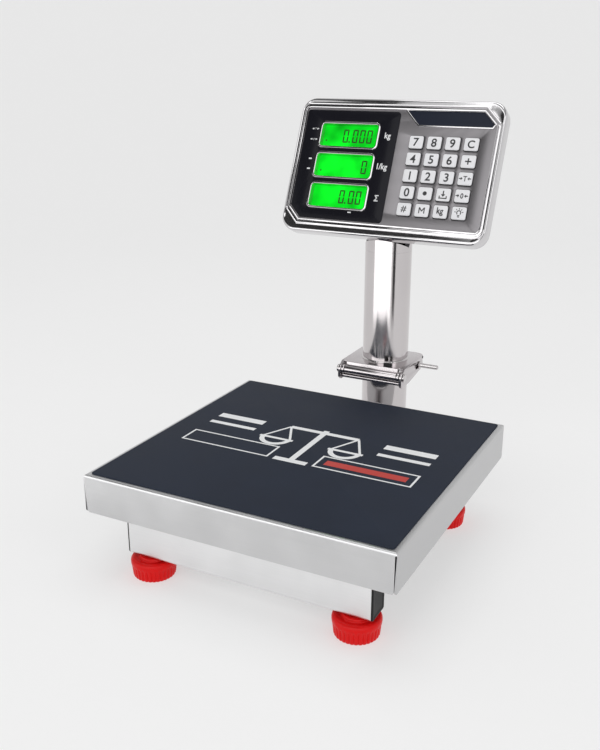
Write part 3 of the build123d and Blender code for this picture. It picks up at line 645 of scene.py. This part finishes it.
def neck():
    """Tube mitred to the back of the head, and the plate that four screws hold to the shell."""
    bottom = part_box("upper_post")[1].z / MM + 0.3
    x0, y0 = post_middle.x, post_middle.y

    def mitred(radius):
        lower, upper = [], []
        for a, b in circle(radius, 128):
            back = y0 + b - face_origin.y
            to_shell = (-36.2 - back * FACE_NORMAL.y) / FACE_NORMAL.z
            to_underside = (-73.7 - back * FACE_UP.y) / FACE_UP.z
            top = min(face_origin.z + max(to_shell, to_underside), 335)
            lower.append(Vector((x0 + a, y0 + b, bottom)) * MM)
            upper.append(Vector((x0 + a, y0 + b, top)) * MM)
        return lower, upper

    outer, inner = mitred(25), mitred(20.4)
    bm = bmesh.new()
    skin(bm, [outer[0], outer[1], inner[1], inner[0]], ring=True)
    spigot = ((20.4, bottom - 26), (23.0, bottom - 26), (23.4, bottom - 25.5))
    spigot += ((23.4, bottom), (20.4, bottom))
    turned(bm, spigot, upright(x0, y0), 64, ring=True)
    holes = [circle(2.2, 16, (x, y)) for x in (-32, 32) for y in (-52, -4)]
    plate(bm, rounded_box(80, 64, 6, (0, -28)), holes, -40, -36.05, face_at(0, 0), 0.4)
    piece("neck", bm, "head", post_steel, ("neck_bracket",))


neck()

# ------------------------------------------------------------------ head

HEAD_HALF_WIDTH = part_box("head_bezel")[1].x / MM
HEAD_HALF_HEIGHT = 73.5
BEZEL_DEPTH = 17.0
HEAD_DEPTH = 36.0
PANEL_FRONT = -2.8
OPENING = (106.0, 62.0, -106.0, -60.5)
flat_face = face_at(0, 0)


def opening(by):
    """Outline of the bezel's opening: cut off at top right and low left."""
    right, top, left, bottom = OPENING
    cut = 0.586 * by
    corners = [("cut", 15 + cut), ("round", 4 + by), ("cut", 13.5 + cut), ("round", 5 + by)]
    return box_outline(right + by, top + by, left - by, bottom - by, corners)


def casing(by):
    x, y = HEAD_HALF_WIDTH + by, HEAD_HALF_HEIGHT + by
    return box_outline(x, y, -x, -y, [("round", 16 + by)] * 4)


def rear_outline(by):
    return box_outline(102 + by, 62 + by, -102 - by, -62 - by, [("round", 10 + by)] * 4)


def bezel():
    """Chromed front frame: two raised lines round the opening, a band, and deep sides."""
    profile = [(opening(0), -3.4), (opening(0), -0.8), (opening(0.2), -0.3), (opening(0.75), 0)]
    profile += [(opening(1.3), -0.3), (opening(1.5), -0.8)]
    profile += [(opening(1.9), -1.7), (opening(3.3), -1.8)]
    profile += [(opening(3.8), -0.8), (opening(4.0), -0.3), (opening(4.6), 0), (opening(5.2), -0.3)]
    profile += [(opening(5.4), -0.9)]
    inner, outer = opening(5.7), casing(-2.4)
    band = ((0, -1.7), (0.4, -1.5), (0.8, -1.1), (1, -1.0))
    profile += [(between(inner, outer, t), w) for t, w in band]
    profile += [(casing(-1.6), -1.2), (casing(-0.9), -1.7), (casing(-0.3), -2.8), (casing(0), -4.0)]
    profile += [(casing(0), -9), (casing(0), 0.4 - BEZEL_DEPTH), (casing(-0.4), -BEZEL_DEPTH)]
    profile += [(casing(-2.4), -BEZEL_DEPTH), (casing(-2.4), -5), (opening(4), -3.4)]
    bm = bmesh.new()
    skin(bm, [[on_face(x, y, w) for x, y in points] for points, w in profile], ring=True)
    piece("bezel", bm, "head", chrome, ("head_bezel",))


WINDOW_X = -52.3
WINDOW_PITCH = 33.0
windows = [(WINDOW_X, WINDOW_PITCH * row) for row in (1, 0, -1)]
key_rows = (
    ("7", "8", "9", "clear"), ("4", "5", "6", "add"), ("1", "2", "3", "tare"),
    ("0", "point", "store", "set_zero"), ("count", "memory", "unit", "light"),
)
KEY_FIRST = (24.4, 28.5)
KEY_PITCH = (19.5, 17.6)
keys = {
    name: (KEY_FIRST[0] + column * KEY_PITCH[0], KEY_FIRST[1] - row * KEY_PITCH[1])
    for row, names in enumerate(key_rows)
    for column, name in enumerate(names)
}


def panels():
    bm = bmesh.new()
    holes = [rounded_box(16.2, 14.4, 2.4, centre, 4) for centre in keys.values()]
    holes += [rounded_box(66, 26, 3, centre, 4) for centre in windows]
    plate(bm, rounded_box(218, 129, 6, (0, 0.75)), holes, PANEL_FRONT, PANEL_FRONT - 2, flat_face)
    piece("silver_panel", bm, "head", panel_silver, ("keypad_panel",))

    bm = bmesh.new()
    corners = [("round", 4), ("round", 3), ("cut", 13), ("round", 4)]
    outline = box_outline(2.2, 60, -105.4, -58.5, corners)
    holes = [rounded_box(68.6, 28.5, 5, centre, 5) for centre in windows]
    plate(bm, outline, holes, PANEL_FRONT + 0.9, PANEL_FRONT, flat_face, 0.35)
    piece("dark_panel", bm, "head", display_black, ("display_panel",))

    bm = bmesh.new()
    for centre in windows:
        rim = rounded_box(69.4, 29.3, 5.4, centre, 8)
        glass = rounded_box(61.5, 23, 2.2, centre, 8)
        steps = [(rim, -2.6), (rim, -1.1), (grown(rim, -0.3), -0.65), (grown(rim, -1.0), -0.45)]
        steps += [(grown(rim, -1.8), -0.5), (grown(rim, -2.3), -0.9), (grown(rim, -2.6), -1.6)]
        steps += [(glass, -5.6), (grown(rim, -1.0), -5.6), (grown(rim, -1.0), -2.6)]
        skin(bm, [[on_face(x, y, w) for x, y in points] for points, w in steps], ring=True)
    piece("window_rims", bm, "head", chrome, ("window_frames",))


def seven_segments(figure, x, y, width=6.0, height=14.4, thick=1.45, gap=0.15):
    """Outlines of the lit segments of one figure whose lower left corner is at x, y."""
    lit = {"0": "abcdef", ".": ""}[figure]
    half = height / 2
    t, w, g = thick, width, gap
    shapes = {
        "a": [(g, height), (w - g, height), (w - g - t, height - t), (g + t, height - t)],
        "d": [(g, 0), (g + t, t), (w - g - t, t), (w - g, 0)],
        "f": [(0, height - g), (t, height - g - t), (t, half + g + t / 2), (0, half + g)],
        "b": [(w, height - g), (w, half + g), (w - t, half + g + t / 2), (w - t, height - g - t)],
        "e": [(0, g), (0, half - g), (t, half - g - t / 2), (t, g + t)],
        "c": [(w, g), (w - t, g + t), (w - t, half - g - t / 2), (w, half - g)],
    }
    return [[(x + a, y + b) for a, b in shapes[key]] for key in lit]


def displays():
    bm = bmesh.new()
    for x, y in windows:
        profile = ((0, -8.8), (0, -5.75), (-0.2, -5.6))
        section(bm, rounded_box(64.5, 26, 2, (x, y)), profile, flat_face)
    piece("lcd_glass", bm, "head", lcd_green, ("lcd_modules",))
    marks = []
    for (x, y), figures in zip(windows, ("0.000", "0", "0.00")):
        pen = x + 61.5 / 2 - 5.4
        for figure in reversed(figures):
            if figure == ".":
                marks.append(circle(0.95, 12, (pen - 0.9, y - 6.0)))
                pen -= 2.7
            else:
                marks += seven_segments(figure, pen - 6.0, y - 6.9)
                pen -= 8.2
    for x, y in windows[:2]:
        marks.append(circle(0.85, 12, (x - 61.5 / 2 + 3.6, y - 5)))
    print_on("lcd_figures", marks, "head", lcd_dark, flat_face, -5.57)


def cap(name, centre):
    """Key cap: pale pillowed top; its skirt is painted dark grey as painted shade in the gap round the key."""
    body = "key_" + name
    outline = rounded_box(15, 13.2, 1.9, (0, 0), 5)
    place = face_at(*centre)
    bm = bmesh.new()
    # The skirt takes the second material, a dark grey painted as the shade in the gap round the key.
    section(bm, outline, ((0.4, -4.4), (0, -3.2), (0, -1.9)), place, (True, False), material=1)
    profile = ((0, -1.9), (-0.05, -1.5), (-0.25, -1.15), (-0.6, -0.95), (-1.3, -0.88))
    section(bm, outline, profile, place, (False, True))
    piece("cap_" + name, bm, body, (key_silver, key_skirt_painted_shade), (body,))


def bulb():
    """Lamp sign: a glass, its base and rays."""
    marks = arc_band(0, 0.4, 2.1, 1.0, -50, 230, 14)
    marks += [bar(-1.3, -2.4, 1.3, -2.4, 0.9), bar(-1.1, -3.8, 1.1, -3.8, 0.9)]
    for turn in (10, 50, 90, 130, 170):
        a = math.radians(turn)
        near, far = ((r * math.cos(a), 0.4 + r * math.sin(a)) for r in (3.3, 4.7))
        marks.append(bar(*near, *far, 0.8))
    return marks


def arrows(inner):
    """A sign between two arrows that point at it, as for tare and zero."""
    marks = list(inner)
    for side in (-1, 1):
        marks.append(bar(side * 6.4, 0, side * 4.2, 0, 1.0))
        marks.append([(side * 4.4, 1.7), (side * 2.5, 0), (side * 4.4, -1.7)])
    return marks


def legends():
    for name, centre in keys.items():
        if name.isdigit():
            marks = glyph_faces(name, 8.8, 0.2)
        elif name == "clear":
            marks = glyph_faces("C", 8.0, 0.2)
        elif name == "add":
            marks = [bar(-3.2, 0, 3.2, 0, 1.4), bar(0, 3.2, 0, -3.2, 1.4)]
        elif name == "tare":
            marks = arrows(glyph_faces("T", 5.4, 0.16, 0.85))
        elif name == "set_zero":
            marks = arrows(glyph_faces("0", 5.4, 0.16, 0.85))
        elif name == "point":
            marks = [circle(2.2, 24)]
        elif name == "store":
            marks = [bar(0, 4, 0, -0.2, 1.2), [(-2.4, 0.4), (0, -2.2), (2.4, 0.4)]]
            marks += [bar(-4.2, -3.7, 4.2, -3.7, 1.1), bar(-3.7, -3.7, -3.7, -1.2, 1.1)]
            marks += [bar(3.7, -3.7, 3.7, -1.2, 1.1)]
        elif name == "count":
            marks = glyph_faces("#", 6.8, 0.12)
        elif name == "memory":
            marks = [bar(side * 2.7, -3.1, side * 2.7, 3.1, 1.1) for side in (-1, 1)]
            marks += [bar(side * 2.5, 2.9, 0, -0.9, 1.1) for side in (-1, 1)]
        elif name == "unit":
            marks = glyph_faces("kg", 6.6, 0.14, 0.85)
        else:
            marks = bulb()
        print_on("legend_" + name, marks, "key_" + name, print_dark, face_at(*centre), -0.85)


SIGN_HEIGHT = -1.86


def signs():
    """Small white signs on the dark panel, beside the windows."""
    left = WINDOW_X - 34.7 - 5.6
    right = WINDOW_X + 34.7 + 9.6
    for place, text in (((right, 33.2), "kg"), ((right, 0.2), "1/kg"), ((right, -32.6), "Σ")):
        marks = glyph_faces(text, 6.4, 0.18, 0.85)
        name = "sign_right_%d" % (10 + place[1])
        print_on(name, marks, "head", print_white, face_at(*place), SIGN_HEIGHT)
    for y, text in ((39, "T"), (27.4, "0")):
        marks = arrows(glyph_faces(text, 2.6, 0.05))
        small = [[(a * 0.62, b * 0.8) for a, b in outline] for outline in marks]
        print_on("sign_left_%d" % y, small, "head", print_white, face_at(left, y), SIGN_HEIGHT)
    for y in (6, -5):
        print_on("sign_left_%d" % (y + 10), [bar(-1.7, 0, 1.7, 0, 1.5)], "head", print_white,
                 face_at(left, y), SIGN_HEIGHT)
    print_on("sign_low", [bar(-1.9, 0, 1.9, 0, 1.3)], "head", print_white,
             face_at(-35.5, -49.6), SIGN_HEIGHT)


def nameplate():
    outline = [(9.7, 61.4), (23.9, 46.9), (100.8, 46.9), (102.6, 49.8), (90.8, 61.4)]
    bm = bmesh.new()
    section(bm, outline, ((0, PANEL_FRONT), (0, -2.2), (-0.3, -2.0)), flat_face)
    piece("blank_plate", bm, "head", nameplate_blue, ("nameplate",))
    bm = bmesh.new()
    profile = ((0.05, PANEL_FRONT - 0.2), (0.05, -1.9), (0.35, -1.5), (1.0, -1.35), (1.6, -1.5))
    profile += ((1.95, -2.0), (2.0, PANEL_FRONT - 0.2))
    section(bm, outline, profile, flat_face, ring=True)
    piece("plate_edging", bm, "head", chrome)


bezel()
panels()
displays()
for key_name, key_centre in keys.items():
    cap(key_name, key_centre)
legends()
signs()
nameplate()


def rear_shell():
    """Moulded back: shadow groove, sloping sides, rounded rear edge, slots and two raised lips."""
    loops = [(casing(-2.2), -BEZEL_DEPTH), (casing(-0.7), -BEZEL_DEPTH)]
    loops += [(casing(-0.7), -BEZEL_DEPTH - 0.9), (casing(-0.35), -BEZEL_DEPTH - 1.1)]
    for t, by in ((0.1, 0), (0.5, 0), (0.86, 0), (0.93, -0.3), (0.98, -0.9), (1.0, -2.0)):
        loops.append((between(casing(by), rear_outline(by), t), -BEZEL_DEPTH - t * 19))
    bm = bmesh.new()
    points = [[on_face(x, y, w) for x, y in outline] for outline, w in loops]
    skin(bm, points, caps=(False, False))
    inside = [(rear_outline(-2.0), -HEAD_DEPTH + 2), (casing(-2.2), -BEZEL_DEPTH)]
    skin(bm, [[on_face(x, y, w) for x, y in outline] for outline, w in inside], caps=(False, False))
    holes = [rounded_box(13.4, 19.6, 0.6, (80, -30), 3), circle(4.75, 32, (80, 5))]
    holes += [circle(1.8, 16, (x, y)) for x in (-96, 96) for y in (-56, 56)]
    holes += [rounded_box(26, 2, 0.95, (-62, 34 - 5 * row), 4) for row in range(8)]
    plate(bm, rear_outline(-2.0), holes, -HEAD_DEPTH, -HEAD_DEPTH + 2, flat_face, 0.2)
    rim = rounded_box(17.4, 22.8, 2, (80, -30), 4)
    hole = rounded_box(13.4, 19.6, 0.6, (80, -30), 4)
    steps = [(rim, -35.9), (rim, -36.9), (grown(rim, -0.3), -37.2), (grown(hole, 0.3), -37.2)]
    steps += [(hole, -36.9), (hole, -35.9)]
    skin(bm, [[on_face(x, y, w) for x, y in outline] for outline, w in steps], ring=True)
    seam = rounded_box(24, 58, 2, (80, -15), 5)
    steps = [(seam, -35.9), (grown(seam, -0.1), -36.35), (grown(seam, -0.7), -36.35)]
    steps += [(grown(seam, -0.8), -35.9)]
    skin(bm, [[on_face(x, y, w) for x, y in outline] for outline, w in steps], ring=True)
    piece("back_shell", bm, "head", shell_plastic, ("head_rear_shell",), 36)


rear_shell()
softened("power_rocker", "power_switch", black_plastic, 0.5, 3)

# ------------------------------------------------------------------ stage, light and camera

bpy.context.scene.view_settings.view_transform = "Standard"


def staged(name, bm, material):
    for face in bm.faces:
        face.smooth = True
    mesh = bpy.data.meshes.new(name)
    bm.to_mesh(mesh)
    bm.free()
    mesh.materials.append(material)
    obj = linked(name, mesh)
    return obj


def studio():
    """A pale, faintly glowing floor that sweeps up into walls all round, under a dim ceiling."""
    backdrop = surface("backdrop", (0.42, 0.42, 0.42), 0, 0.9, (0.01, 0.01, 0.01), 0.004, 0.0, 0.0,
                       Emission_Color=(1, 1, 1, 1), Emission_Strength=0.50, Specular_IOR_Level=0.0)
    profile = [(0.001, 0), (1600, 0)]
    for i in range(1, 13):
        a = i / 12 * math.pi / 2
        profile.append((1600 + 1200 * math.sin(a), 1200 * (1 - math.cos(a))))
    profile.append((2800, 2400))
    bm = bmesh.new()
    turned(bm, profile, upright(0, 0), 96, caps=(True, False))
    staged("backdrop", bm, backdrop)

    world = bpy.data.worlds.new("studio")
    bpy.context.scene.world = world
    world.use_nodes = True
    world.node_tree.nodes["Background"].inputs["Color"].default_value = (1, 1, 1, 1)
    world.node_tree.nodes["Background"].inputs["Strength"].default_value = 0.4


def card(name, start, end, distance, low, high, material):
    """Studio card standing well clear of the scale, on an arc round the post; only gloss shows it."""
    bm = bmesh.new()
    edges = []
    for i in range(13):
        a = math.radians(start + (end - start) * i / 12)
        x, y = distance * math.sin(a), post_middle.y * MM - distance * math.cos(a)
        edges.append([bm.verts.new((x, y, z)) for z in (low, high)])
    for (p, q), (r, s) in zip(edges, edges[1:]):
        bm.faces.new((p, r, s, q))
    obj = staged(name, bm, material)
    obj.visible_camera = False
    obj.visible_diffuse = False
    obj.visible_shadow = False


def softbox(name, place, aim, width, height, power):
    """Area light at place, pointing at aim."""
    data = bpy.data.lights.new(name, "AREA")
    data.shape = "RECTANGLE"
    data.size, data.size_y = width, height
    data.energy = power
    lamp = linked(name, data)
    lamp.location = place
    lamp.rotation_euler = (Vector(aim) - Vector(place)).to_track_quat("-Z", "Y").to_euler()
    lamp.visible_camera = False
    return lamp


studio()
softbox("key_light", (0.1, -1.45, 1.5), (0, 0.1, 0.35), 1.5, 0.9, 5.5)
softbox("fill_light", (1.6, -0.6, 1.2), (0, 0, 0.2), 0.6, 1.2, 3)
softbox("top_light", (0, 0.1, 2.0), (0, 0, 0.2), 1.3, 1.3, 9)
white_card = surface("white_card", (0.8, 0.8, 0.8), 0, 0.9, bump=0.0,
                     Emission_Color=(1, 1, 1, 1), Emission_Strength=1.45)
black_card = surface("black_card", (0.02, 0.02, 0.02), 0, 0.9, bump=0.0)
card("card_front", -47, 38, 0.72, 0.0, 0.34, white_card)
card("flag_right", 45, 58, 0.72, 0.0, 0.9, black_card)
card("flag_left", -85, -24, 1.0, 0.72, 1.7, black_card)

# The camera, given from the middle of the tray's top.
CAMERA_FROM_TRAY = Vector((0.36441, -0.71483, 0.35014))
CAMERA_TURN = (math.radians(70.98), 0, math.radians(27.5))
camera_data = bpy.data.cameras.new("camera")
camera_data.lens = 43.98
camera = linked("camera", camera_data)
camera.location = Vector((0, tray_middle.y * MM, tray_high.z * MM)) + CAMERA_FROM_TRAY
camera.rotation_euler = CAMERA_TURN
bpy.context.scene.camera = camera
